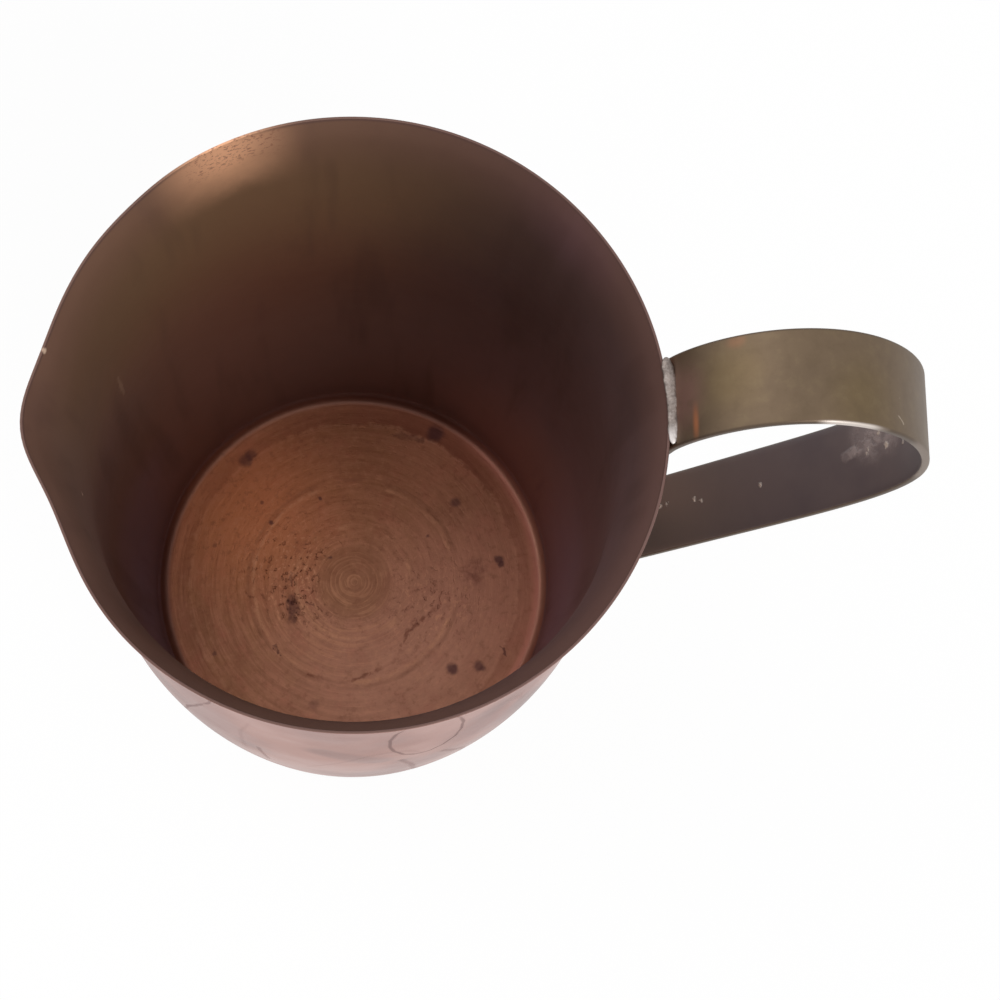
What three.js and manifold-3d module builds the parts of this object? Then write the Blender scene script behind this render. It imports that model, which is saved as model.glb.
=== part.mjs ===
// A small copper pitcher: a spun body with a pinched pouring lip, and a brass strap handle soldered on.
// Millimetres, +Z up. The origin is the middle of the base, on the table. The handle is at +X, the lip at -X.
import * as THREE from 'three';
import { mergeVertices } from 'three/addons/utils/BufferGeometryUtils.js';
import Module from 'manifold-3d';

const wasm = await Module();
wasm.setup();

const degrees = Math.PI / 180;

// Body
const height = 120;
const rimRadius = 43.05;
const flareAngle = 13 * degrees;
const flareEase = 9;
const neckInset = 3.25;
const neckHeight = 94;
const neckEase = 10;
const bellyInset = 2.15;
const bellyHeight = 57;
const bellyEase = 13;
const footInset = 6.25;
const footAngle = 6 * degrees;
const footEase = 17;
const cornerRadius = 3;
const sheet = 0.8;

// Pouring lip, and how far the rim is out of round
const lipBearing = 182.5 * degrees;
const lipReach = 2.4;
const lipSpread = 10.9 * degrees;
const lipDepth = 24;
const nearPinch = 1.05;
const nearPinchAngle = 15.5 * degrees;
const nearPinchSpread = 18.7 * degrees;
const farPinch = 0.2;
const farPinchAngle = 46 * degrees;
const farPinchSpread = 9 * degrees;
const ovalSwell = 0.15;
const ovalBearing = 91 * degrees;
const ovalDepth = 60;

// Strap handle, along its centreline
const strapWidth = 13;
const strapThickness = 1.2;
const strapOffset = 2.2;
const seatGap = 0.3;
const upperTabTop = 2.5;
const upperTabLength = 11;
const archRise = 12.4;
const archReach = 17.4;
const archLead = 4.5;
const archEase = 9.9;
const shoulderEase = 12.4;
const handleReach = 38.2;
const handleReachDrop = 16.1;
const handleDropEase = 11.7;
const heelEase = 10.6;
const gripReach = 22.4;
const gripDrop = 50.8;
const gripEase = 15.9;
const lowerJointHeight = 33;
const lowerBend = 4.5;
const lowerTabLength = 10;

// Solder beads
const upperBeadRadius = 1.15;
const upperBeadRise = 0.6;
const upperBeadOverlap = 0.3;
const lowerBeadRadius = 1.5;
const lowerBeadRise = 5.2;
const beadInset = 0.4;

// Fineness
const segments = 80;
const cornerSteps = 4;
const wallSteps = [6, 5, 7];
const strapSteps = 14;
const beadSides = 14;
const beadSteps = 8;

// The outer wall from the corner's top to the rim, as (radius, height)
const neckRadius = rimRadius - neckInset;
const bellyRadius = rimRadius - bellyInset;
const footRadius = rimRadius - footInset;
const footHeight = cornerRadius * (1 - Math.sin(footAngle));
const baseFlatRadius = footRadius - cornerRadius * Math.cos(footAngle);
const wallCurves = [
  new THREE.CubicBezierCurve(
    new THREE.Vector2(footRadius, footHeight),
    new THREE.Vector2(
      footRadius + footEase * Math.sin(footAngle),
      footHeight + footEase * Math.cos(footAngle),
    ),
    new THREE.Vector2(bellyRadius, bellyHeight - footEase),
    new THREE.Vector2(bellyRadius, bellyHeight),
  ),
  new THREE.CubicBezierCurve(
    new THREE.Vector2(bellyRadius, bellyHeight),
    new THREE.Vector2(bellyRadius, bellyHeight + bellyEase),
    new THREE.Vector2(neckRadius, neckHeight - bellyEase),
    new THREE.Vector2(neckRadius, neckHeight),
  ),
  new THREE.CubicBezierCurve(
    new THREE.Vector2(neckRadius, neckHeight),
    new THREE.Vector2(neckRadius, neckHeight + neckEase),
    new THREE.Vector2(
      rimRadius - flareEase * Math.sin(flareAngle),
      height - flareEase * Math.cos(flareAngle),
    ),
    new THREE.Vector2(rimRadius, height),
  ),
];

function outerWall() {
  const points = [new THREE.Vector2(baseFlatRadius, 0)];
  for (let i = 1; i < cornerSteps; i += 1) {
    const angle = -Math.PI / 2 + (i / cornerSteps) * (Math.PI / 2 - footAngle);
    points.push(new THREE.Vector2(
      baseFlatRadius + cornerRadius * Math.cos(angle),
      cornerRadius + cornerRadius * Math.sin(angle),
    ));
  }
  wallCurves.forEach((curve, i) => {
    const part = curve.getPoints(wallSteps[i]);
    points.push(...(i === 0 ? part : part.slice(1)));
  });
  return points;
}

// Each point moved square to the outline, to its right for a positive distance.
function offsetLine(points, distance) {
  return points.map((point, i) => {
    const before = points[Math.max(i - 1, 0)];
    const after = points[Math.min(i + 1, points.length - 1)];
    const along = after.clone().sub(before).normalize();
    return new THREE.Vector2(point.x + along.y * distance, point.y - along.x * distance);
  });
}

const smoothStep = (t) => {
  const u = THREE.MathUtils.clamp(t, 0, 1);
  return u * u * (3 - 2 * u);
};

const bump = (bearing, centre, spread) => {
  const turn = Math.atan2(Math.sin(bearing - centre), Math.cos(bearing - centre));
  return Math.exp(-((turn / spread) ** 2));
};

// How far the wall is pushed out from a true circle, at a bearing and a height.
function wallPush(bearing, z) {
  const lip = lipReach * bump(bearing, lipBearing, lipSpread)
    - nearPinch * bump(bearing, lipBearing + nearPinchAngle, nearPinchSpread)
    - farPinch * bump(bearing, lipBearing - farPinchAngle, farPinchSpread);
  const oval = ovalSwell * Math.cos(2 * (bearing - ovalBearing));
  return lip * smoothStep(1 - (height - z) / lipDepth) + oval * smoothStep(1 - (height - z) / ovalDepth);
}

function wallRadius(z) {
  const points = outerWall();
  const above = points.findIndex((point) => point.y >= z);
  const upper = points[above < 1 ? points.length - 1 : above];
  const lower = points[above < 1 ? points.length - 2 : above - 1];
  const share = (z - lower.y) / (upper.y - lower.y);
  return lower.x + share * (upper.x - lower.x) + wallPush(0, z);
}

function bare(geometry) {
  geometry.deleteAttribute('normal');
  geometry.deleteAttribute('uv');
  return mergeVertices(geometry, 1e-4);
}

// A turned solid about Z from a line of (radius, height) points, with the lip and the oval pressed in.
function turned(points) {
  const geometry = new THREE.LatheGeometry(points, segments);
  geometry.rotateX(Math.PI / 2);
  const position = geometry.attributes.position;
  for (let i = 0; i < position.count; i += 1) {
    const x = position.getX(i);
    const y = position.getY(i);
    const radius = Math.hypot(x, y);
    if (radius > neckRadius / 2) {
      const share = 1 + wallPush(Math.atan2(y, x), position.getZ(i)) / radius;
      position.setXY(i, x * share, y * share);
    }
  }
  return bare(geometry);
}

function bodyGeometry() {
  const outer = outerWall();
  const inner = offsetLine(outer, -sheet);
  inner[0].set(baseFlatRadius, sheet);
  const rim = inner[inner.length - 1];
  rim.y = height;
  return turned([new THREE.Vector2(0, 0), ...outer, ...inner.reverse(), new THREE.Vector2(0, sheet)]);
}

// The body filled in and grown by the seat gap, to cut what lies against it.
function bodyCutter() {
  const outer = offsetLine(outerWall(), seatGap);
  const top = outer[outer.length - 1];
  top.y = height + seatGap;
  return turned([new THREE.Vector2(0, -seatGap), ...outer, new THREE.Vector2(0, height + seatGap)]);
}

// A point of the strap's centreline where it lies against the wall, and the wall's direction there.
function seat(z) {
  const step = 0.5;
  const lean = new THREE.Vector2(wallRadius(z) - wallRadius(z - step), step).normalize();
  const clear = seatGap + strapThickness / 2;
  return {
    point: new THREE.Vector2(wallRadius(z) + clear * lean.y, z - clear * lean.x),
    lean,
  };
}

function seatedRun(from, to) {
  const steps = 6;
  const points = [];
  for (let i = 0; i <= steps; i += 1) {
    points.push(seat(from + ((to - from) * i) / steps).point);
  }
  return points;
}

// The strap's centreline in the plane of the handle, as (x, z), from the upper tab to the lower one.
function strapCentreline() {
  const tabTop = height - upperTabTop;
  const start = seat(tabTop);
  const peak = new THREE.Vector2(rimRadius + archReach, height + archRise);
  const outermost = new THREE.Vector2(rimRadius + handleReach, height - handleReachDrop);
  const grip = new THREE.Vector2(rimRadius + gripReach, height - gripDrop);
  const corner = seat(lowerJointHeight).point;
  const run = corner.clone().sub(grip).normalize();
  const bendStart = corner.clone().addScaledVector(run, -lowerBend);
  const bendEnd = lowerJointHeight - lowerBend;
  const curves = [
    new THREE.CubicBezierCurve(
      start.point,
      start.point.clone().addScaledVector(start.lean, archLead),
      new THREE.Vector2(peak.x - archEase, peak.y),
      peak,
    ),
    new THREE.CubicBezierCurve(
      peak,
      new THREE.Vector2(peak.x + shoulderEase, peak.y),
      new THREE.Vector2(outermost.x, outermost.y + handleDropEase),
      outermost,
    ),
    new THREE.CubicBezierCurve(
      outermost,
      new THREE.Vector2(outermost.x, outermost.y - heelEase),
      grip.clone().addScaledVector(run, -gripEase),
      grip,
    ),
  ];
  const bend = new THREE.QuadraticBezierCurve(bendStart, corner, seat(bendEnd).point);
  const points = seatedRun(tabTop - upperTabLength, tabTop);
  curves.forEach((curve) => points.push(...curve.getPoints(strapSteps).slice(1)));
  points.push(...bend.getPoints(5));
  points.push(...seatedRun(bendEnd, bendEnd - lowerTabLength).slice(1));
  return points;
}

// A flat outline in (x, z) given a width along Y, centred on the handle's plane.
function across(outline, width) {
  const shape = new THREE.Shape(outline);
  const geometry = new THREE.ExtrudeGeometry(shape, { depth: width, bevelEnabled: false, curveSegments: 1 });
  geometry.rotateX(Math.PI / 2);
  geometry.translate(0, strapOffset + width / 2, 0);
  return bare(geometry);
}

// The strap, or with growth its cutter: the same strap grown all round.
function strapGeometry(growth = 0) {
  const line = strapCentreline();
  const half = strapThickness / 2 + growth;
  const first = line[0].clone().sub(line[1]).normalize();
  const last = line[line.length - 1].clone().sub(line[line.length - 2]).normalize();
  line[0].addScaledVector(first, growth);
  line[line.length - 1].addScaledVector(last, growth);
  return across([...offsetLine(line, half), ...offsetLine(line, -half).reverse()], strapWidth + 2 * growth);
}

function solid(geometry) {
  return new wasm.Manifold(new wasm.Mesh({
    numProp: 3,
    vertProperties: new Float32Array(geometry.attributes.position.array),
    triVerts: new Uint32Array(geometry.index.array),
  }));
}

function geometryOf(manifold) {
  const mesh = manifold.getMesh();
  const geometry = new THREE.BufferGeometry();
  geometry.setAttribute('position', new THREE.BufferAttribute(mesh.vertProperties, 3));
  geometry.setIndex(new THREE.BufferAttribute(mesh.triVerts, 1));
  return geometry;
}

// A round bead laid level along the joint between wall and strap, cut clear of both.
function beadGeometry(beadRadius, runRadius, z) {
  const reach = strapWidth / 2 - beadInset;
  const start = Math.asin((strapOffset - reach) / runRadius);
  const end = Math.asin((strapOffset + reach) / runRadius);
  const points = [];
  for (let i = 0; i <= beadSteps; i += 1) {
    const bearing = start + ((end - start) * i) / beadSteps;
    points.push(new THREE.Vector3(runRadius * Math.cos(bearing), runRadius * Math.sin(bearing), z));
  }
  const section = new THREE.Shape();
  section.absarc(0, 0, beadRadius, 0, 2 * Math.PI);
  const rod = new THREE.ExtrudeGeometry(section, {
    steps: beadSteps,
    curveSegments: beadSides,
    bevelEnabled: false,
    extrudePath: new THREE.CatmullRomCurve3(points),
  });
  const clear = solid(bodyCutter()).add(solid(strapGeometry(seatGap)));
  return geometryOf(solid(bare(rod)).subtract(clear));
}

function finish(name, geometry, color, roughness, metalness) {
  const facets = geometry.toNonIndexed();
  facets.computeVertexNormals();
  const mesh = new THREE.Mesh(facets, new THREE.MeshStandardMaterial({ color, roughness, metalness }));
  mesh.name = name;
  return mesh;
}

const copper = [0x9a5f48, 0.34, 1];
const brass = [0x7d6d50, 0.38, 1];
const solder = [0x9c9590, 0.5, 0.9];

const pitcher = new THREE.Group();
pitcher.name = 'copper_pitcher';
pitcher.add(finish('pitcher_body', bodyGeometry(), ...copper));
pitcher.add(finish('strap_handle', strapGeometry(), ...brass));
pitcher.add(finish(
  'upper_solder_joint',
  beadGeometry(upperBeadRadius, wallRadius(height) + upperBeadOverlap, height + upperBeadRise),
  ...solder,
));
pitcher.add(finish(
  'lower_solder_joint',
  beadGeometry(
    lowerBeadRadius,
    wallRadius(lowerJointHeight + lowerBeadRise) + lowerBeadRadius,
    lowerJointHeight + lowerBeadRise,
  ),
  ...solder,
));

export default pitcher;
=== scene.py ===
"""A small copper pitcher with a brass strap handle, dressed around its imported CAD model.

+Z is up, the handle is at +X and the pouring lip at -X. The scene is in metres. The sizes of the
pitcher and the places in its materials are in millimetres.
"""

import math

import bmesh
import bpy
from mathutils import Matrix, Vector, geometry, noise


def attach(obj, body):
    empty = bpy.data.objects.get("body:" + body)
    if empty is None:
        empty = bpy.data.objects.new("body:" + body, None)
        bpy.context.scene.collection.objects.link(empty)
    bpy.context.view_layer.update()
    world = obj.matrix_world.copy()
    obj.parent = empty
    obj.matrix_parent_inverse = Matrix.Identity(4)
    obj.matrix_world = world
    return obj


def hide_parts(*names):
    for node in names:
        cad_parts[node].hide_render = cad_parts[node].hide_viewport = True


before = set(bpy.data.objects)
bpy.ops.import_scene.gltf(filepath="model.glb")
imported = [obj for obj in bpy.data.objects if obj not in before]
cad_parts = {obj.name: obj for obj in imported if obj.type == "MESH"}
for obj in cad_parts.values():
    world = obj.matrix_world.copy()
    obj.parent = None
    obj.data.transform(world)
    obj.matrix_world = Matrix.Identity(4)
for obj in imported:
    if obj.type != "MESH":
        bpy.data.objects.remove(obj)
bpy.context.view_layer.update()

MM = 0.001

# Body, where each ease is the length of a curve's handle
HEIGHT = 120
RIM_RADIUS = 43.05
FLARE_ANGLE = math.radians(13)
FLARE_EASE = 9
NECK_RADIUS = 39.8
NECK_HEIGHT = 94
NECK_EASE = 10
BELLY_RADIUS = 40.9
BELLY_HEIGHT = 57
BELLY_EASE = 13
FOOT_RADIUS = 36.8
FOOT_ANGLE = math.radians(6)
FOOT_EASE = 17
CORNER_RADIUS = 3
INNER_CORNER = 1.9
INNER_CORNER_GAP = 0.05

# Sheet, which is thinner at the rim's edge and at the foot
SHEET = 0.8
RIM_EDGE = 0.4
RIM_ROUNDING = 0.12
RIM_TAPER = 4
FOOT_SHEET = 0.4
FOOT_TAPER = 16

# Pouring lip, and how far the rim is out of round
LIP_BEARING = math.radians(182.5)
LIP_REACH = 2.4
LIP_SPREAD = math.radians(10.9)
LIP_DEPTH = 24
NEAR_PINCH = 1.05
NEAR_PINCH_ANGLE = math.radians(15.5)
NEAR_PINCH_SPREAD = math.radians(18.7)
FAR_PINCH = 0.2
FAR_PINCH_ANGLE = math.radians(46)
FAR_PINCH_SPREAD = math.radians(9)
OVAL_SWELL = 0.15
OVAL_BEARING = math.radians(91)
OVAL_DEPTH = 60

# Strap, with its reaches and rises counted from the rim
STRAP_WIDTH = 13
STRAP_THICKNESS = 1.2
STRAP_OFFSET = 2.2
STRAP_NEAR_EDGE = STRAP_OFFSET - STRAP_WIDTH / 2
STRAP_ROUNDING = 0.38
SEAT_GAP = 0.3
UPPER_TAB_TOP = 2.5
UPPER_TAB_LENGTH = 11
ARCH_RISE = 12.4
ARCH_REACH = 17.4
ARCH_LEAD = 4.5
ARCH_EASE = 9.9
SHOULDER_EASE = 12.4
HANDLE_REACH = 38.2
HANDLE_REACH_DROP = 16.1
HANDLE_DROP_EASE = 11.7
HEEL_EASE = 10.6
GRIP_REACH = 22.4
GRIP_DROP = 50.8
GRIP_EASE = 15.9
LOWER_JOINT_HEIGHT = 33
LOWER_BEND = 4.5
LOWER_TAB_LENGTH = 10
LOOP_MIDDLE = Vector((60, STRAP_OFFSET, 95))

# Solder beads: how square their ends are, and their lumps per millimetre
BEAD_SQUARENESS = 6
COARSE_LUMPS = 0.9
FINE_LUMPS = 2.6

# Fineness
TURN_STEPS = 256
WALL_STEPS = (16, 14, 18)
CORNER_STEPS = 8
FLOOR_STEPS = 12
CURVE_STEPS = 40
BEND_STEPS = 8
SEAT_STEPS = 10
WIDTH_STEPS = 10
BEAD_STEPS = (48, 120)

# Camera, fitted to the photograph, with its place in metres
EYE = Vector((-0.39, -78.01, 405.74)) * MM
LOOK = Vector((0.06746, 0.22532, -0.97196))
TO_THE_RIGHT = Vector((0.99772, -0.01385, 0.06603))
LENS = 78.656

# Light and floor, in metres: lamps as (name, place, size, power), the light that the room gives, the
# floor, the share of it that shows as plain white, and the rays that see floor and room as white
LAMPS = (
    ("key", (0.45, -0.8, 1.0), 0.6, 9),
    ("fill", (-1.1, 0.7, 1.2), 1.6, 9),
)
LAMP_TARGET = Vector((0, 0, 0.06))
ROOM_LIGHT = 0.6
FLOOR_HALF_WIDTH = 8
FLOOR_DROP = 0.0001
FLOOR_WHITENESS = 0.95
SEES_WHITE = ("Is Camera Ray", "Is Glossy Ray", "Is Transmission Ray")


def smooth_step(value):
    """0 below 0, 1 above 1, and a smooth ramp between."""
    value = min(max(value, 0), 1)
    return value * value * (3 - 2 * value)


def swell(bearing, centre, spread):
    """A smooth rise of 1 at a bearing."""
    turn = math.atan2(math.sin(bearing - centre), math.cos(bearing - centre))
    return math.exp(-((turn / spread) ** 2))


def bezier(start, lead, tail, end, steps):
    """Points along one curve."""
    corners = [Vector((*point, 0)) for point in (start, lead, tail, end)]
    return [point.to_2d() for point in geometry.interpolate_bezier(*corners, steps + 1)]


def offset_line(line, distance):
    """Each point moved square to the line, to its right for a positive distance."""
    moved = []
    for i, point in enumerate(line):
        along = (line[min(i + 1, len(line) - 1)] - line[max(i - 1, 0)]).normalized()
        moved.append(point + Vector((along.y, -along.x)) * distance)
    return moved


def wall_push(bearing, z):
    """How far the wall stands out from a true circle at a bearing and a height."""
    lip = (
        LIP_REACH * swell(bearing, LIP_BEARING, LIP_SPREAD)
        - NEAR_PINCH * swell(bearing, LIP_BEARING + NEAR_PINCH_ANGLE, NEAR_PINCH_SPREAD)
        - FAR_PINCH * swell(bearing, LIP_BEARING - FAR_PINCH_ANGLE, FAR_PINCH_SPREAD)
    )
    oval = OVAL_SWELL * math.cos(2 * (bearing - OVAL_BEARING))
    lip_share = smooth_step(1 - (HEIGHT - z) / LIP_DEPTH)
    oval_share = smooth_step(1 - (HEIGHT - z) / OVAL_DEPTH)
    return lip * lip_share + oval * oval_share


def corner_arc(flat, height, radius, sweep):
    """The rounded corner at the edge of a flat, from the flat upwards."""
    arc = []
    for i in range(CORNER_STEPS + 1):
        angle = sweep * i / CORNER_STEPS - math.pi / 2
        arc.append(Vector((flat + radius * math.cos(angle), height + radius * (1 + math.sin(angle)))))
    return arc


def outer_wall():
    """The outer wall as (radius, height), from the base's edge to the rim."""
    foot_height = CORNER_RADIUS * (1 - math.sin(FOOT_ANGLE))
    flat = FOOT_RADIUS - CORNER_RADIUS * math.cos(FOOT_ANGLE)
    line = corner_arc(flat, 0, CORNER_RADIUS, math.pi / 2 - FOOT_ANGLE)[:-1]
    line += bezier(
        (FOOT_RADIUS, foot_height),
        (FOOT_RADIUS + FOOT_EASE * math.sin(FOOT_ANGLE), foot_height + FOOT_EASE * math.cos(FOOT_ANGLE)),
        (BELLY_RADIUS, BELLY_HEIGHT - FOOT_EASE),
        (BELLY_RADIUS, BELLY_HEIGHT),
        WALL_STEPS[0],
    )
    line += bezier(
        (BELLY_RADIUS, BELLY_HEIGHT),
        (BELLY_RADIUS, BELLY_HEIGHT + BELLY_EASE),
        (NECK_RADIUS, NECK_HEIGHT - BELLY_EASE),
        (NECK_RADIUS, NECK_HEIGHT),
        WALL_STEPS[1],
    )[1:]
    line += bezier(
        (NECK_RADIUS, NECK_HEIGHT),
        (NECK_RADIUS, NECK_HEIGHT + NECK_EASE),
        (RIM_RADIUS - FLARE_EASE * math.sin(FLARE_ANGLE), HEIGHT - FLARE_EASE * math.cos(FLARE_ANGLE)),
        (RIM_RADIUS, HEIGHT),
        WALL_STEPS[2],
    )[1:]
    return line


def wall_radius(z):
    """The outer wall's radius at a height, on the handle's side."""
    line = outer_wall()
    for lower, upper in zip(line, line[1:]):
        if upper.y >= z:
            break
    return lower.x + (z - lower.y) / (upper.y - lower.y) * (upper.x - lower.x) + wall_push(0, z)


def seat(z):
    """The strap's centre where it lies against the wall, and the wall's direction there."""
    step = 0.5
    lean = Vector((wall_radius(z) - wall_radius(z - step), step)).normalized()
    clear = SEAT_GAP + STRAP_THICKNESS / 2
    return Vector((wall_radius(z) + clear * lean.y, z - clear * lean.x)), lean


def seated_run(start, end):
    """Seated centres between two heights."""
    return [seat(start + (end - start) * i / SEAT_STEPS)[0] for i in range(SEAT_STEPS + 1)]


def strap_centreline():
    """The strap's centreline in the handle's plane, from the upper tab to the lower one."""
    tab_top = HEIGHT - UPPER_TAB_TOP
    start, lean = seat(tab_top)
    peak = Vector((RIM_RADIUS + ARCH_REACH, HEIGHT + ARCH_RISE))
    outermost = Vector((RIM_RADIUS + HANDLE_REACH, HEIGHT - HANDLE_REACH_DROP))
    grip = Vector((RIM_RADIUS + GRIP_REACH, HEIGHT - GRIP_DROP))
    corner = seat(LOWER_JOINT_HEIGHT)[0]
    run = (corner - grip).normalized()
    bend_start = corner - run * LOWER_BEND
    bend_foot = LOWER_JOINT_HEIGHT - LOWER_BEND
    bend_end = seat(bend_foot)[0]
    line = seated_run(tab_top - UPPER_TAB_LENGTH, tab_top)
    line += bezier(start, start + lean * ARCH_LEAD, peak - Vector((ARCH_EASE, 0)), peak, CURVE_STEPS)[1:]
    line += bezier(
        peak,
        peak + Vector((SHOULDER_EASE, 0)),
        outermost + Vector((0, HANDLE_DROP_EASE)),
        outermost,
        CURVE_STEPS,
    )[1:]
    line += bezier(
        outermost,
        outermost - Vector((0, HEEL_EASE)),
        grip - run * GRIP_EASE,
        grip,
        CURVE_STEPS,
    )[1:]
    line += bezier(
        bend_start,
        bend_start.lerp(corner, 2 / 3),
        bend_end.lerp(corner, 2 / 3),
        bend_end,
        BEND_STEPS,
    )
    line += seated_run(bend_foot, bend_foot - LOWER_TAB_LENGTH)[1:]
    return line


def piece(name, bm, materials, replaced, smooth_angle=40):
    """A finished piece from a mesh in millimetres, smooth across edges flatter than the angle."""
    bmesh.ops.scale(bm, vec=(MM, MM, MM), verts=bm.verts)
    for face in bm.faces:
        face.smooth = True
    for edge in bm.edges:
        edge.smooth = edge.calc_face_angle(0) < math.radians(smooth_angle)
    mesh = bpy.data.meshes.new(name)
    bm.to_mesh(mesh)
    bm.free()
    for material in materials:
        mesh.materials.append(material)
    made = bpy.data.objects.new(name, mesh)
    bpy.context.scene.collection.objects.link(made)
    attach(made, "root")
    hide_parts(replaced)


def line_of(bm, points):
    """Joined vertices through (x, z) points."""
    corners = [bm.verts.new((x, 0, z)) for x, z in points]
    edges = [bm.edges.new(pair) for pair in zip(corners, corners[1:])]
    return corners + edges


def spun_body(materials):
    """The spun shell: floor, wall and flared rim, with the lip pressed in."""
    outer = outer_wall()
    inner = []
    for point, square in zip(outer[CORNER_STEPS:], offset_line(outer, -1)[CORNER_STEPS:]):
        near_rim = smooth_step(1 - (HEIGHT - point.y) / RIM_TAPER)
        near_foot = smooth_step(1 - point.y / FOOT_TAPER)
        thickness = SHEET + (RIM_EDGE - SHEET) * near_rim + (FOOT_SHEET - SHEET) * near_foot
        inner.append(point.lerp(square, thickness))
    inner[-1].y = HEIGHT
    flat = inner[0].x - INNER_CORNER - INNER_CORNER_GAP
    inner = corner_arc(flat, SHEET, INNER_CORNER, math.pi / 2) + inner
    across = (inner[-1] - outer[-1]).normalized()
    up = Vector((0, 1))
    cut = RIM_ROUNDING * 0.3
    edge = [
        outer[-1] - up * RIM_ROUNDING,
        outer[-1] + across * cut - up * cut,
        outer[-1] + across * RIM_ROUNDING,
        (outer[-1] + inner[-1]) / 2,
        inner[-1] - across * RIM_ROUNDING,
        inner[-1] - across * cut - up * cut,
        inner[-1] - up * RIM_ROUNDING,
    ]
    flats = [i / FLOOR_STEPS for i in range(FLOOR_STEPS)]
    line = [Vector((outer[0].x * share, 0)) for share in flats] + outer[:-1] + edge
    line += inner[-2::-1] + [Vector((flat * share, SHEET)) for share in reversed(flats)]

    bm = bmesh.new()
    bmesh.ops.spin(
        bm,
        geom=line_of(bm, line),
        cent=(0, 0, 0),
        axis=(0, 0, 1),
        angle=2 * math.pi,
        steps=TURN_STEPS,
        use_merge=True,
    )
    bmesh.ops.remove_doubles(bm, verts=bm.verts, dist=0.001)
    bmesh.ops.recalc_face_normals(bm, faces=bm.faces)
    for face in bm.faces:
        centre = face.calc_center_median()
        inward = face.normal.x * centre.x + face.normal.y * centre.y < 0
        upward = face.normal.z > 0.5
        face.material_index = 1 if inward or upward else 0
    for vert in bm.verts:
        radius = math.hypot(vert.co.x, vert.co.y)
        if radius > NECK_RADIUS / 2:
            share = 1 + wall_push(math.atan2(vert.co.y, vert.co.x), vert.co.z) / radius
            vert.co.x *= share
            vert.co.y *= share
    piece("spun_copper_body", bm, materials, "pitcher_body")


def strap(materials):
    """The flat strip, bent into the handle's loop."""
    bm = bmesh.new()
    centreline = strap_centreline()
    sheet = line_of(bm, offset_line(centreline, -STRAP_THICKNESS / 2))
    bmesh.ops.spin(
        bm,
        geom=sheet,
        cent=(0, 0, 0),
        axis=(0, 1, 0),
        dvec=(0, STRAP_WIDTH / WIDTH_STEPS, 0),
        angle=0,
        steps=WIDTH_STEPS,
    )
    bmesh.ops.recalc_face_normals(bm, faces=bm.faces)
    bmesh.ops.translate(bm, vec=(0, STRAP_NEAR_EDGE, 0), verts=bm.verts)
    bmesh.ops.solidify(bm, geom=bm.faces, thickness=STRAP_THICKNESS)
    bmesh.ops.recalc_face_normals(bm, faces=bm.faces)
    sharp = [edge for edge in bm.edges if edge.calc_face_angle(0) > 1]
    bmesh.ops.bevel(
        bm,
        geom=sharp,
        offset=STRAP_ROUNDING,
        offset_type="OFFSET",
        segments=4,
        profile=0.5,
        affect="EDGES",
        material=-1,
    )
    bm.normal_update()
    for face in bm.faces:
        centre = face.calc_center_median()
        flat_face = abs(face.normal.y) < 0.3
        to_loop = face.normal.dot((LOOP_MIDDLE - centre).normalized()) > 0.05
        face.material_index = 1 if flat_face and to_loop and centre.z > LOWER_JOINT_HEIGHT else 0
    piece("brass_strap", bm, materials, "strap_handle")


def bead(name, material, replaced, run_radius, z, half_length, widths, rise, lump, seed):
    """A lumpy run of solder laid along the joint.

    The widths are (place, half width), with the place from -1 at the near end to 1 at the far one.
    """
    bm = bmesh.new()
    bmesh.ops.create_uvsphere(bm, u_segments=BEAD_STEPS[0], v_segments=BEAD_STEPS[1], radius=1)
    bmesh.ops.rotate(bm, verts=bm.verts, matrix=Matrix.Rotation(-math.pi / 2, 3, "X"))
    for vert in bm.verts:
        place = min(max(vert.co.y, -1), 1)
        around = Vector((vert.co.x, vert.co.z))
        full = math.sqrt(max(1 - place**BEAD_SQUARENESS, 0))
        around = around.normalized() * full if around.length > 0.0001 else around
        for (start, first), (end, last) in zip(widths, widths[1:]):
            if place <= end:
                break
        half_width = first + (last - first) * smooth_step((place - start) / (end - start))
        along = place * half_length
        offset = Vector((around.x * half_width, along, around.y * half_width * rise))
        rough = noise.noise(offset * COARSE_LUMPS + seed) + noise.noise(offset * FINE_LUMPS - seed) * 0.5
        rough *= lump
        offset.x += around.x * rough
        offset.z += around.y * rough
        bearing = math.asin((STRAP_OFFSET + along) / run_radius)
        reach = run_radius + offset.x
        vert.co = (reach * math.cos(bearing), reach * math.sin(bearing), z + offset.z)
    piece(name, bm, [material], replaced, smooth_angle=180)


def tone(red, green, blue):
    """A screen colour as the numbers a shader takes."""
    parts = [part / 255 for part in (red, green, blue)]
    linear = [part / 12.92 if part <= 0.04045 else ((part + 0.055) / 1.055) ** 2.4 for part in parts]
    return (*linear, 1)


class Link:
    """A number's socket that can be used in sums."""

    def __init__(self, finish, socket):
        self.finish = finish
        self.socket = socket

    def math(self, operation, *others):
        """A Math node with this number first."""
        return self.finish.node("ShaderNodeMath", {"operation": operation}, self, *others)

    def __add__(self, other):
        return self.math("ADD", other)

    __radd__ = __add__

    def __sub__(self, other):
        return self.math("SUBTRACT", other)

    def __rsub__(self, other):
        return self.finish.node("ShaderNodeMath", {"operation": "SUBTRACT"}, other, self)

    def __mul__(self, other):
        return self.math("MULTIPLY", other)

    __rmul__ = __mul__

    def __truediv__(self, other):
        return self.math("DIVIDE", other)

    def __pow__(self, other):
        return self.math("POWER", other)

    def ramp(self, start, end):
        """A smooth ramp, 0 at start and 1 at end."""
        return self.finish.node(
            "ShaderNodeMapRange",
            {"interpolation_type": "SMOOTHSTEP"},
            **{"Value": self, "From Min": start, "From Max": end},
        )


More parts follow.
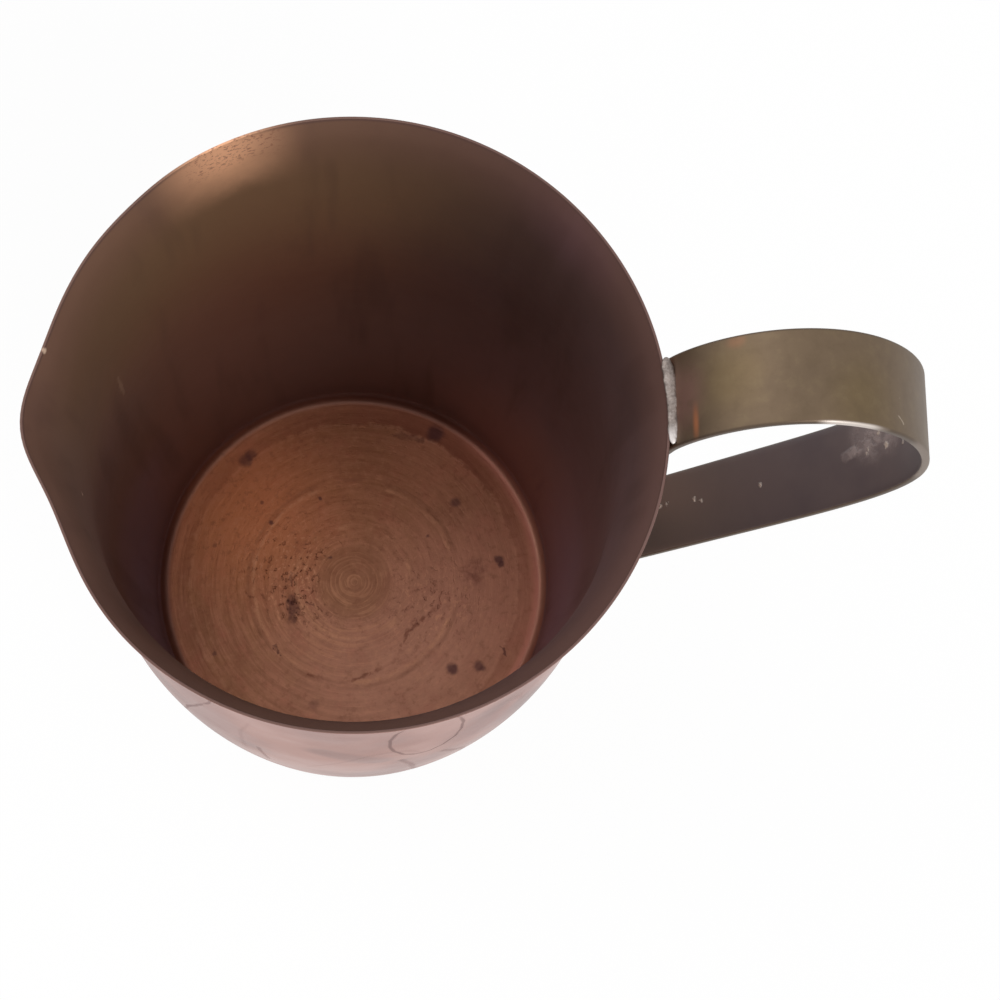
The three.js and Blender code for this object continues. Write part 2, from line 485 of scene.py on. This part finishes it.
class Finish:
    """A material under construction, with places in millimetres on the piece."""

    def __init__(self, name):
        self.material = bpy.data.materials.new(name)
        self.material.use_nodes = True
        self.tree = self.material.node_tree
        self.tree.nodes.clear()
        place = self.node("ShaderNodeTexCoord", {}, output="Object")
        self.place = self.vector("SCALE", place, Scale=1 / MM)
        split = self.tree.nodes.new("ShaderNodeSeparateXYZ")
        self.tree.links.new(self.place.socket, split.inputs[0])
        self.x, self.y, self.z = (Link(self, socket) for socket in split.outputs)
        self.radius = (self.x**2 + self.y**2) ** 0.5
        self.bearing = self.y.math("ARCTAN2", self.x) * (180 / math.pi)

    def node(self, kind, settings, *values, output=0, **named):
        """A node with its settings made first, then its sockets by order or by name."""
        made = self.tree.nodes.new(kind)
        for setting, value in settings.items():
            setattr(made, setting, value)
        for key, value in [*enumerate(values), *named.items()]:
            if isinstance(value, Link):
                self.tree.links.new(value.socket, made.inputs[key])
            else:
                made.inputs[key].default_value = value
        return Link(self, made.outputs[output]) if made.outputs else None

    def vector(self, operation, *values, **named):
        """A Vector Math node."""
        return self.node("ShaderNodeVectorMath", {"operation": operation}, *values, **named)

    def noise(self, scale, detail=3, roughness=0.5, place=None):
        """Smooth noise from 0 to 1, with scale in bumps per millimetre."""
        return self.node(
            "ShaderNodeTexNoise",
            {"normalize": True},
            Vector=place or self.place,
            Scale=scale,
            Detail=detail,
            Roughness=roughness,
        )

    def wander(self, scale, distance):
        """The place moved about by noise, which makes edges ragged."""
        values = {"Vector": self.place, "Scale": scale, "Detail": 3}
        drift = self.node("ShaderNodeTexNoise", {}, **values, output="Color")
        centred = self.vector("SUBTRACT", drift, (0.5, 0.5, 0.5))
        return self.vector("ADD", self.place, self.vector("SCALE", centred, Scale=2 * distance))

    def across(self, *parts):
        """A place made of three numbers."""
        return self.node("ShaderNodeCombineXYZ", {}, *parts)

    def spot(self, centre, size, softness=0.5, place=None):
        """1 inside a round spot, falling to 0 across its soft edge."""
        gap = self.vector("DISTANCE", place or self.place, centre, output="Value")
        return gap.ramp(size * (1 + softness), size * (1 - softness))

    def stroke(self, points, width, place=None):
        """1 along a line through the points, falling to 0 at the width on either side."""
        nearest = None
        for start, end in zip(points, points[1:]):
            run = Vector(end) - Vector(start)
            away = self.vector("SUBTRACT", place or self.place, start)
            share = self.vector("DOT_PRODUCT", away, run / run.length_squared, output="Value")
            reached = self.vector("SCALE", run, Scale=share.math("MAXIMUM", 0).math("MINIMUM", 1))
            gap = self.vector("DISTANCE", away, reached, output="Value")
            nearest = gap.math("MINIMUM", nearest) if nearest else gap
        return nearest.ramp(width, width * 0.3)

    def ring(self, value, middle, width):
        """1 where a value is at the middle, falling to 0 at the width."""
        return (value - middle).math("ABSOLUTE").ramp(width, 0)

    def mix(self, mask, first, second):
        """The first colour where the mask is 0, and the second where it is 1 or more."""
        made = self.tree.nodes.new("ShaderNodeMix")
        made.data_type = "RGBA"
        made.clamp_factor = True
        for socket, value in ((made.inputs[0], mask), (made.inputs[6], first), (made.inputs[7], second)):
            if isinstance(value, Link):
                self.tree.links.new(value.socket, socket)
            else:
                socket.default_value = value
        return Link(self, made.outputs[2])

    def close(self, colour, roughness, height, metallic=1, **fixed):
        """The finished material. The bump's height is in millimetres."""
        bump = self.node("ShaderNodeBump", {}, Height=height, Distance=MM, Strength=1, output="Normal")
        varied = {"Base Color": colour, "Roughness": roughness, "Metallic": metallic, "Normal": bump}
        surface = self.node("ShaderNodeBsdfPrincipled", {}, **varied, **fixed)
        self.node("ShaderNodeOutputMaterial", {}, Surface=surface)
        return self.material


def on_wall(bearing, z, inset=0):
    """A place on the wall at a bearing in degrees and a height, some way in from the outside."""
    angle = math.radians(bearing)
    radius = wall_radius(z) - inset
    return (radius * math.cos(angle), radius * math.sin(angle), z)


# Outside, in degrees round the wall and millimetres up: dried drips as (route, width, strength), the
# water mark's loop as (bearing, height, half width, half height), smudges wiped along a line as
# (route, width), and round ones as (bearing, height, size)
DRIPS = (
    (((239, 92), (237.5, 82), (234, 72), (230.5, 62), (227.5, 48)), 0.4, 0.8),
    (((280.5, 61.5), (283, 52), (285.5, 25)), 0.8, 0.5),
    (((290, 59), (295.5, 48), (298, 30)), 0.9, 0.5),
    (((248.5, 61), (250, 47)), 0.6, 0.6),
)
WATER_LOOP = (285.6, 80, 8.2, 15.5)
WATER_LOOP_TURNS = [math.radians(50 - 22 * i) for i in range(14)]
WIPED_SMUDGES = (
    (((263, 73), (268, 69.5), (275, 64.5)), 4),
    (((310, 66), (315, 52), (321, 36)), 4.5),
)
ROUND_SMUDGES = ((281, 60.5, 1.6), (302, 77, 4), (224, 66, 4), (246, 60, 3), (318, 84, 3.5))
SMUDGE_STRENGTH = 0.6


def outside_copper():
    """Bright pinkish copper outside, with soft clouds, dried water marks and smudges."""
    f = Finish("copper_outside")
    cloud = f.noise(0.045, 4, 0.55)
    mottle = f.noise(0.22, 4, 0.6)
    grain = f.noise(1.6, 3, 0.6)
    drawn = f.vector("MULTIPLY", f.place, (1, 1, 0.6))
    tide = f.ring(f.noise(0.05, 0, 0.5, drawn), 0.5, 0.022) * f.noise(0.03, 1).ramp(0.48, 0.6)
    soft = f.noise(0.055, 2, 0.45, f.vector("MULTIPLY", f.wander(0.04, 5), (1, 1, 0.7)))
    loose = f.wander(0.15, 0.5)
    bearing, z, half_width, half_height = WATER_LOOP
    loop = []
    for turn in WATER_LOOP_TURNS:
        loop.append(on_wall(bearing + half_width * math.cos(turn), z + half_height * math.sin(turn)))
    marks = tide * 0.22 + f.stroke(loop, 0.45, loose)
    for route, width, strength in DRIPS:
        marks = marks + f.stroke([on_wall(*point) for point in route], width, loose) * strength
    marks = marks.math("MINIMUM", 1)
    smudge = 0
    for route, width in WIPED_SMUDGES:
        smudge = smudge + f.stroke([on_wall(*point) for point in route], width, loose) * SMUDGE_STRENGTH
    for bearing, z, size in ROUND_SMUDGES:
        smudge = smudge + f.spot(on_wall(bearing, z), size, 0.8, loose) * SMUDGE_STRENGTH
    colour = f.mix(cloud.ramp(0.35, 0.68), tone(168, 121, 106), tone(156, 111, 98))
    colour = f.mix(soft.ramp(0.46, 0.66) * 0.55, colour, tone(122, 88, 84))
    colour = f.mix(soft.ramp(0.54, 0.34) * 0.45, colour, tone(200, 158, 144))
    colour = f.mix(f.spot(on_wall(262, 70), 16, 0.8, loose) * 0.4, colour, tone(160, 112, 92))
    colour = f.mix(smudge.math("MINIMUM", 1) * 0.75, colour, tone(94, 68, 66))
    colour = f.mix(marks * 0.6, colour, tone(88, 62, 66))
    roughness = 0.16 + cloud * 0.12 + mottle * 0.06 + marks * 0.12
    height = f.noise(0.05, 2) * 0.3 + grain * 0.002
    return f.close(colour, roughness, height, **{"Specular Tint": tone(237, 223, 221)})


# Inner wall: broad soft tones as (bearing, height, size, tone, strength), partly tarnish and partly
# painted light, shade and reflected glow
WALL_TONES = (
    (-12, 45, 36, (194, 154, 162), 0.8),
    (-20, 90, 34, (122, 97, 99), 0.7),
    (16, 60, 26, (142, 108, 106), 0.7),
    (55, 92, 34, (80, 58, 56), 0.7),
    (100, 104, 22, (116, 88, 64), 0.7),
    (125, 92, 26, (138, 102, 74), 0.9),
    (150, 100, 24, (126, 96, 70), 0.8),
    (178, 106, 18, (118, 88, 70), 0.7),
    (118, 58, 26, (122, 78, 60), 0.85),
    (140, 30, 24, (150, 104, 88), 0.7),
    (28, 14, 16, (196, 142, 132), 0.7),
    (-14, 16, 16, (200, 170, 196), 0.6),
    (165, 60, 22, (132, 98, 82), 0.6),
    (193, 18, 18, (146, 132, 160), 0.8),
    (195, 60, 20, (132, 108, 108), 0.6),
    (205, 92, 18, (124, 98, 92), 0.7),
    (42, 115, 6.5, (112, 78, 92), 0.35),
)

# Floor, as x and y on it: broad soft tones, partly painted light and shade, as (x, y, size, softness,
# tone, strength), dark spots as (x, y, size, strength), the crack's route, and dark blotches as (ends,
# width, strength)
FLOOR_TONES = (
    (-21, 14, 14, 0.9, (212, 132, 88), 0.7),
    (4, 27, 16, 0.8, (158, 103, 72), 0.45),
    (25, 0, 15, 0.8, (190, 130, 108), 0.6),
    (8, -20, 19, 0.8, (190, 138, 118), 0.5),
    (15, 25.5, 7, 0.9, (204, 136, 108), 0.4),
)
DARK_SPOTS = (
    (15.4, 28.9, 1.35, 0.75),
    (-20.6, 23.5, 1.1, 0.6),
    (-19.6, 24.6, 1.0, 0.5),
    (19.3, 15.4, 0.85, 0.6),
    (13.9, 8.8, 0.35, 0.6),
    (27.4, 4.4, 0.75, 0.75),
    (27.7, 3.4, 0.55, 0.7),
    (-15.8, 11.5, 0.4, 0.7),
    (-4.5, 4.6, 0.35, 0.7),
    (-6.6, 16.1, 0.35, 0.7),
    (18.3, -16.5, 0.95, 0.8),
    (23.3, -16.1, 0.8, 0.65),
    (24, -16.5, 0.5, 0.5),
    (-7.4, -23.1, 0.8, 0.3),
    (-25.9, -13.6, 0.35, 0.5),
    (-26.1, 7.1, 0.4, 0.35),
    (-17.6, 15.4, 0.4, 0.5),
)
CRACK = (
    (-8.5, -17.5),
    (-4.5, -18.8),
    (-0.5, -18.9),
    (3.4, -17.2),
    (5.8, -16),
    (8.2, -14.6),
    (8.6, -12.4),
    (10, -9.6),
    (13.2, -6.6),
    (15.8, -4.4),
)
BLOTCHES = (
    (((-11.6, -3.6), (-11.2, -5.4)), 1.5, 0.65),
    (((-11.9, -4), (-11.5, -7.2)), 1.2, 0.65),
    (((-14.9, -12.1), (-13.7, -14)), 0.4, 0.8),
    (((27.8, -12.7), (28.3, -14.1)), 0.38, 0.7),
    (((-8.9, -4.1), (-7.8, -4.3)), 0.4, 0.6),
    (((-11.6, -0.5), (-11.8, 1.5)), 0.4, 0.5),
    (((8.2, 28.6), (13, 27.6)), 1, 0.4),
)


def floor_colour(f, cloud, mottle, ragged):
    """The pitcher's floor: coppery, with turning marks, a stained border, painted shade and a painted
    reflected glow round its edge, a crack and dark spots.

    Gives the colour, then the turning marks, rings and pits that the bump uses.
    """
    patchy = f.noise(0.12, 3, 0.55)
    grit = f.noise(0.8, 4, 0.65)
    lobes = f.noise(0.2, 2, 0.5)
    turned = f.radius + mottle * 0.9
    round_x, round_y = f.x / (f.radius + 3), f.y / (f.radius + 3)
    turning = f.noise(1, 4, 0.6, f.across((f.radius + mottle * 0.3) * 1.1, round_x * 2.5, round_y * 2.5))
    chips = f.noise(1, 3, 0.6, f.across(f.radius * 1.2, round_x * 14, round_y * 14))
    colour = f.mix(turning.ramp(0.32, 0.68), tone(156, 102, 76), tone(182, 123, 95))
    colour = f.mix(mottle.ramp(0.5, 0.66) * 0.35, colour, tone(190, 114, 92))
    colour = f.mix(mottle.ramp(0.48, 0.34) * 0.3, colour, tone(150, 103, 68))
    colour = f.mix(patchy.ramp(0.42, 0.62) * 0.35, colour, tone(150, 102, 72))
    for x, y, size, softness, shade, strength in FLOOR_TONES:
        colour = f.mix(f.spot((x, y, SHEET), size, softness, ragged) * strength, colour, tone(*shade))

    disc = turned.ramp(8.6, 5.6)
    colour = f.mix(disc * 0.5, colour, tone(142, 96, 68))
    lines = f.noise(1, 3, 0.6, f.across(f.radius * 1.3, 0, 0))
    colour = f.mix(lines.ramp(0.45, 0.65) * disc * 0.3, colour, tone(186, 128, 96))
    colour = f.mix(grit.ramp(0.52, 0.68) * 0.3, colour, tone(126, 78, 58))
    colour = f.mix(grit.ramp(0.46, 0.32) * 0.16, colour, tone(214, 152, 118))

    outer_ring = f.ring(turned, 19.4, 0.7) * patchy.ramp(0.4, 0.55)
    inner_ring = f.ring(turned, 11.2, 0.8) * patchy.ramp(0.56, 0.44)
    rings = outer_ring + inner_ring
    colour = f.mix(rings * grit.ramp(0.35, 0.55) * 0.42, colour, tone(216, 156, 120))
    groove = f.ring(turned, 20.3, 0.6) * patchy.ramp(0.4, 0.5) + f.ring(turned, 7.2, 0.5) * 0.6
    colour = f.mix(groove * 0.28, colour, tone(120, 76, 56))
    arcs = f.noise(1, 2, 0.5, f.across(f.radius * 2.4, round_x * 1.6, round_y * 1.6)).ramp(0.52, 0.62)
    colour = f.mix(arcs * f.spot((-4, -5, SHEET), 12, 0.8) * 0.3, colour, tone(212, 152, 116))
    worked = 0.12 + f.spot((-11, 1, SHEET), 8, 0.9) * 0.6 + f.spot((15, -4, SHEET), 7, 0.9) * 0.35
    worked = worked * f.radius.ramp(5.5, 8)
    pits = chips.ramp(0.58, 0.66) * worked
    colour = f.mix(chips.ramp(0.42, 0.34) * worked * 0.6, colour, tone(230, 166, 128))
    colour = f.mix(pits * 0.25, colour, tone(108, 66, 50))

    edge = f.radius + cloud + lobes * 2 + grit * 0.6
    around = f.bearing.math("ABSOLUTE")
    glow_side = around.ramp(64, 36)
    shade_on_lip_side = around.ramp(145, 175)
    stain = 0.25 + f.ring(f.bearing, 62, 52) * 0.45
    colour = f.mix(edge.ramp(32.5, 33.3) * stain, colour, tone(138, 78, 60))
    border_line = f.ring(edge, 32.5, 0.6) * stain * grit.ramp(0.6, 0.45)
    colour = f.mix(border_line * 0.45, colour, tone(214, 152, 124))
    # Painted shade in the corner where the floor meets the wall, deepest on the lip's side
    colour = f.mix(f.radius.ramp(33.6, 35.2) * (0.25 + shade_on_lip_side * 0.55), colour, tone(112, 66, 54))
    # Painted reflected glow: pinkish where the floor turns up into the wall on the handle's side
    colour = f.mix(f.radius.ramp(33, 35) * glow_side * 0.7, colour, tone(204, 130, 112))
    shaded = (0.15 + f.ring(around, 75, 40) * 0.35) * (1 - glow_side)
    colour = f.mix(f.radius.ramp(34.5, 35.2) * shaded, colour, tone(110, 68, 56))

    open_parts = 0.2 + grit.ramp(0.42, 0.52) * patchy.ramp(0.38, 0.54) * 0.8
    crack = f.stroke([(x, y, SHEET) for x, y in CRACK], 0.45, ragged) * open_parts
    colour = f.mix(crack * 0.6, colour, tone(112, 60, 46))
    grime = f.spot((22.9, 1.8, SHEET), 2.2, 0.8, ragged) * (0.2 + grit.ramp(0.4, 0.6) * 0.4)
    colour = f.mix(grime, colour, tone(120, 70, 60))
    torn = f.wander(0.9, 1)
    for ends, width, strength in BLOTCHES:
        blotch = f.stroke([(x, y, SHEET) for x, y in ends], width, torn)
        colour = f.mix(blotch * (0.7 + grit.ramp(0.4, 0.5) * 0.3) * strength, colour, tone(84, 48, 46))
    for x, y, size, strength in DARK_SPOTS:
        dark = f.spot((x, y, SHEET), size * 1.1, 0.5, ragged)
        colour = f.mix(dark * strength, colour, tone(80, 48, 52))
    return colour, turning, rings, pits


def inside_copper():
    """Dark tarnish on the inner wall with painted light and shade, worn bright with a painted highlight
    at one place under the rim, and the floor.
    """
    f = Finish("copper_inside")
    cloud = f.noise(0.04, 4, 0.55)
    mottle = f.noise(0.25, 4, 0.6)
    grain = f.noise(1.8, 3, 0.6)
    ragged = f.wander(0.7, 0.6)
    drift = f.wander(0.05, 5)
    streak = f.noise(0.12, 3, 0.55, f.vector("MULTIPLY", f.place, (1, 1, 0.12)))

    wall = f.mix(cloud.ramp(0.35, 0.68), tone(96, 68, 56), tone(84, 60, 50))
    wall = f.mix(f.z.ramp(82, 22), wall, tone(148, 112, 102))
    for bearing, z, size, shade, strength in WALL_TONES:
        wall = f.mix(f.spot(on_wall(bearing, z), size, 0.95, drift) * strength, wall, tone(*shade))
    wall = f.mix(streak.ramp(0.5, 0.7) * 0.3, wall, tone(70, 48, 42))
    # Worn bright patch under the rim: real wear with a painted highlight laid over it
    wear_and_highlight = f.ring(f.bearing, 116, 18) * (f.z + mottle * 3).ramp(108, 119.5)
    wall = f.mix(wear_and_highlight, wall, tone(252, 190, 146))
    fleck = f.noise(1.5, 4, 0.7, f.vector("MULTIPLY", f.place, (1, 1, 1.8))).ramp(0.53, 0.62)
    flecked = f.ring(f.bearing, 114, 14).ramp(0, 0.5) * f.z.ramp(113.5, 118)
    wall = f.mix(fleck * flecked * 0.7, wall, tone(132, 80, 62))
    # Painted light: the wall lighter towards the rim
    wall = f.mix(f.z.ramp(105, 119) * 0.25, wall, tone(150, 110, 98))
    wall = f.mix(f.z.ramp(119.4, 119.8) * (0.7 - wear_and_highlight * 0.7), wall, tone(98, 72, 66))

    left_scratch = f.stroke([on_wall(155.6, 72, SHEET), on_wall(156.6, 84, SHEET)], 0.55, ragged)
    right_scratch = f.stroke([on_wall(146, 71, SHEET), on_wall(146.4, 80, SHEET)], 0.55, ragged)
    scratches = left_scratch + right_scratch
    wall = f.mix(scratches * streak.ramp(0.4, 0.6) * 0.3, wall, tone(196, 160, 132))
    # A real nick low on the wall, and a painted glint on the rim's edge near the lip
    nicks_and_glint = f.stroke([on_wall(189.3, 101.2, SHEET), on_wall(189.6, 100.5, SHEET)], 0.4, ragged)
    nicks_and_glint = nicks_and_glint + f.spot(on_wall(168, 119.6, -0.1), 0.4, 0.5)
    wall = f.mix(nicks_and_glint, wall, tone(226, 196, 170))
    wall = f.mix(f.z.ramp(6, 2.4) * 0.3, wall, tone(200, 146, 130))

    floor, turning, rings, pits = floor_colour(f, cloud, mottle, ragged)
    on_floor = f.z.ramp(2.2, 1.4)
    # Painted reflected glow: a bright pinkish band where the floor turns up into the wall, strongest on
    # the handle's side
    turn_up = f.z.ramp(0.81, 0.95) * f.z.ramp(2.3, 1.2)
    turn_up = turn_up * (0.05 + f.bearing.math("ABSOLUTE").ramp(60, 5) * 0.75)
    colour = f.mix(turn_up, f.mix(on_floor, wall, floor), tone(250, 186, 158))
    metallic = 0.4 + f.radius.ramp(35, 34.2) * 0.45
    roughness = 0.5 + mottle * 0.1 - on_floor * 0.14
    height = grain * 0.004 + on_floor * (turning * 0.03 + rings * 0.015 + mottle * 0.03 - pits * 0.06)
    return f.close(colour, roughness, height, metallic)


# Strap: stains as (place, size, tone, strength), the two olive yellow ones partly painted sheen, and
# specks of flux on its inner face
STRAP_STAINS_AND_SHEEN = (
    ((49.5, 3, 128.5), 4, (116, 98, 68), 0.5),
    ((67, -0.7, 131), 4.5, (112, 95, 62), 0.4),
    ((50.5, 7.9, 129), 1, (140, 100, 76), 0.5),
    ((44.4, 2, 121), 4, (134, 102, 92), 0.9),
)
FLUX_SPECKS = (
    (80.2, 1.8, 99.6),
    (52.2, 3.6, 50.9),
    (51.3, 3.5, 49.6),
    (56, 3, 56.5),
    (57, 2.5, 57.9),
    (64.7, 2.5, 69.2),
)


def strap_brass():
    """Olive brown tarnish on the brass strip, with painted shade on its edges and painted highlights
    along its near edge.
    """
    f = Finish("strap_brass")
    cloud = f.noise(0.06, 4, 0.55)
    mottle = f.noise(0.4, 4, 0.6)
    grain = f.noise(1.8, 3, 0.6)
    drift = f.wander(0.12, 2)
    colour = f.mix(cloud.ramp(0.35, 0.68), tone(109, 92, 74), tone(101, 85, 69))
    for place, size, shade, strength in STRAP_STAINS_AND_SHEEN:
        colour = f.mix(f.spot(place, size, 0.8, drift) * strength, colour, tone(*shade))
    colour = f.mix(mottle.ramp(0.5, 0.68) * 0.25, colour, tone(92, 77, 60))
    colour = f.mix(mottle.ramp(0.5, 0.32) * 0.2, colour, tone(126, 110, 84))
    gleam = f.ring(f.x, 45.75, 0.5) * f.z.ramp(115, 118) * f.ring(f.y, -2, 3.6)
    colour = f.mix(gleam * 0.8, colour, tone(176, 112, 76))

    # Painted shade: the strap's side faces darker
    edges = (f.y - STRAP_OFFSET).math("ABSOLUTE").ramp(STRAP_WIDTH / 2 - 0.5, STRAP_WIDTH / 2 - 0.05)
    colour = f.mix(edges * 0.7, colour, tone(84, 71, 62))
    near = STRAP_NEAR_EDGE
    # Painted highlights along the near edge, over the arch and at the loop's outer bend
    wear_and_highlight = f.stroke([(62.5, near, 132.6), (70, near, 131)], 3, drift)
    wear_and_highlight = wear_and_highlight + f.stroke([(79, near, 121), (81.5, near, 106)], 5)
    colour = f.mix(edges * wear_and_highlight.math("MINIMUM", 1), colour, tone(130, 116, 105))
    edge_highlight = f.stroke([(64, near, 132.5), (67.5, near, 132)], 4)
    colour = f.mix(edges * edge_highlight * 0.7, colour, tone(232, 222, 214))

    crisp = f.wander(0.8, 0.4)
    scratch = f.stroke([(70.6, -0.4, 128.3), (72.4, -1.6, 127.2), (73.6, -2.6, 126.2)], 0.22, crisp)
    scratch = scratch + f.stroke([(73.2, 0.8, 126.8), (74.6, -0.8, 125.6)], 0.18, crisp)
    colour = f.mix(scratch * 0.45, colour, tone(190, 174, 156))
    roughness = 0.44 + grain * 0.06 + cloud * 0.06
    height = grain * 0.003 + f.noise(0.09, 2) * 0.08
    return f.close(colour, roughness, height, 0.85)


def strap_inner_brass():
    """The strap's inner face: dull purple brown, with a pale crust of flux and specks of it."""
    f = Finish("strap_inner_brass")
    cloud = f.noise(0.06, 4, 0.55)
    mottle = f.noise(0.5, 4, 0.6)
    ragged = f.wander(0.35, 1.2)
    crisp = f.wander(1.6, 0.6)
    colour = f.mix(cloud.ramp(0.35, 0.68), tone(116, 111, 112), tone(106, 102, 105))
    colour = f.mix(f.spot((52, 2, 48), 16, 0.9, ragged) * 0.8, colour, tone(138, 132, 124))
    crust = f.spot((77.6, 5.6, 91), 4, 0.6, ragged) + f.spot((79.4, 4, 96), 2.6, 0.7, ragged) * 0.8
    crust = crust + f.stroke([(75, 3.2, 85.4), (76.6, 3.8, 88.6)], 1.2, ragged) * 0.7
    broken = crust.math("MINIMUM", 1) * (0.5 + mottle.ramp(0.4, 0.6) * 0.5)
    colour = f.mix(broken * 0.75, colour, tone(176, 164, 160))
    speck = f.spot((78.9, 2.6, 94.6), 0.5, 0.5, crisp)
    for place in FLUX_SPECKS:
        speck = speck + f.spot(place, 0.27, 0.8, crisp)
    speck = (speck + broken * mottle.ramp(0.66, 0.72)).math("MINIMUM", 1)
    colour = f.mix(speck * 0.7, colour, tone(214, 200, 184))
    roughness = 0.46 + cloud * 0.06 + broken * 0.2
    height = mottle * 0.01 + broken * 0.12 + speck * 0.2
    return f.close(colour, roughness, height, 0.75)


def solder_metal():
    """Dull grey solder, mottled, and paler at the rim bead's near end."""
    f = Finish("solder_metal")
    mottle = f.noise(0.8, 4, 0.6)
    speckle = f.noise(2.6, 3, 0.7)
    colour = f.mix(mottle.ramp(0.35, 0.65), tone(150, 139, 133), tone(126, 116, 111))
    colour = f.mix(speckle.ramp(0.5, 0.66) * 0.35, colour, tone(182, 174, 170))
    colour = f.mix(speckle.ramp(0.48, 0.34) * 0.3, colour, tone(96, 86, 82))
    near_end = f.spot((43.2, -3.8, 120.4), 1.8, 0.7)
    colour = f.mix(near_end * 0.8, colour, tone(214, 208, 206))
    roughness = 0.5 + mottle * 0.16
    height = f.noise(1.5, 4, 0.6) * 0.08
    return f.close(colour, roughness, height)


def stage_material():
    """A pale floor that the camera and the metal see as white, and that keeps a soft shadow."""
    f = Finish("pale_floor")
    path = f.tree.nodes.new("ShaderNodeLightPath")
    seen = [Link(f, path.outputs[name]) for name in SEES_WHITE]
    lit = f.node("ShaderNodeBsdfDiffuse", {}, Color=(0.9, 0.9, 0.9, 1))
    glow = f.node("ShaderNodeEmission", {}, Color=(1, 1, 1, 1), Strength=1)
    share = (seen[0] + seen[1] + seen[2]) * FLOOR_WHITENESS
    surface = f.node("ShaderNodeMixShader", {}, share, lit, glow)
    f.node("ShaderNodeOutputMaterial", {}, Surface=surface)
    return f.material


def lay_stage():
    """The floor, the room's light, two soft lamps and the camera."""
    scene = bpy.context.scene
    bm = bmesh.new()
    bmesh.ops.create_grid(bm, x_segments=1, y_segments=1, size=FLOOR_HALF_WIDTH)
    mesh = bpy.data.meshes.new("floor")
    bm.to_mesh(mesh)
    bm.free()
    mesh.materials.append(stage_material())
    floor = bpy.data.objects.new("floor", mesh)
    floor.location.z = -FLOOR_DROP
    scene.collection.objects.link(floor)

    world = bpy.data.worlds.new("soft_room")
    scene.world = world
    world.use_nodes = True
    tree = world.node_tree
    tree.nodes.clear()
    path = tree.nodes.new("ShaderNodeLightPath")
    white = tree.nodes.new("ShaderNodeBackground")
    white.inputs["Strength"].default_value = 1
    dim = tree.nodes.new("ShaderNodeBackground")
    dim.inputs["Strength"].default_value = ROOM_LIGHT
    mixed = tree.nodes.new("ShaderNodeMixShader")
    out = tree.nodes.new("ShaderNodeOutputWorld")
    seen = path.outputs[SEES_WHITE[0]]
    for name in SEES_WHITE[1:]:
        either = tree.nodes.new("ShaderNodeMath")
        either.operation = "MAXIMUM"
        tree.links.new(seen, either.inputs[0])
        tree.links.new(path.outputs[name], either.inputs[1])
        seen = either.outputs[0]
    tree.links.new(seen, mixed.inputs[0])
    for background, socket in ((dim, 1), (white, 2)):
        background.inputs["Color"].default_value = (1, 1, 1, 1)
        tree.links.new(background.outputs[0], mixed.inputs[socket])
    tree.links.new(mixed.outputs[0], out.inputs["Surface"])

    for name, place, size, power in LAMPS:
        data = bpy.data.lights.new(name, "AREA")
        data.shape = "SQUARE"
        data.size = size
        data.energy = power
        lamp = bpy.data.objects.new(name, data)
        lamp.location = place
        lamp.rotation_mode = "QUATERNION"
        lamp.rotation_quaternion = (LAMP_TARGET - Vector(place)).to_track_quat("-Z", "Y")
        scene.collection.objects.link(lamp)

    data = bpy.data.cameras.new("camera")
    data.sensor_width = 36
    data.lens = LENS
    data.clip_start = 0.01
    camera = bpy.data.objects.new("camera", data)
    upward = TO_THE_RIGHT.cross(LOOK)
    turn = Matrix((TO_THE_RIGHT, upward, -LOOK)).transposed()
    camera.matrix_world = Matrix.Translation(EYE) @ turn.to_4x4()
    scene.collection.objects.link(camera)
    scene.camera = camera
    scene.view_settings.view_transform = "Standard"


lay_stage()
spun_body([outside_copper(), inside_copper()])
strap([strap_brass(), strap_inner_brass()])
solder = solder_metal()
bead(
    "rim_solder_bead",
    solder,
    "upper_solder_joint",
    run_radius=43.3,
    z=120.2,
    half_length=6.15,
    widths=((-1, 0.72), (-0.6, 0.8), (-0.1, 0.78), (0.5, 0.9), (1, 0.9)),
    rise=0.5,
    lump=0.12,
    seed=Vector((3, 7, 1)),
)
bead(
    "foot_solder_bead",
    solder,
    "lower_solder_joint",
    run_radius=41.4,
    z=38.2,
    half_length=6.3,
    widths=((-1, 1.3), (-0.3, 1.1), (0.4, 1.35), (1, 1.1)),
    rise=1.2,
    lump=0.4,
    seed=Vector((1, 4, 9)),
)
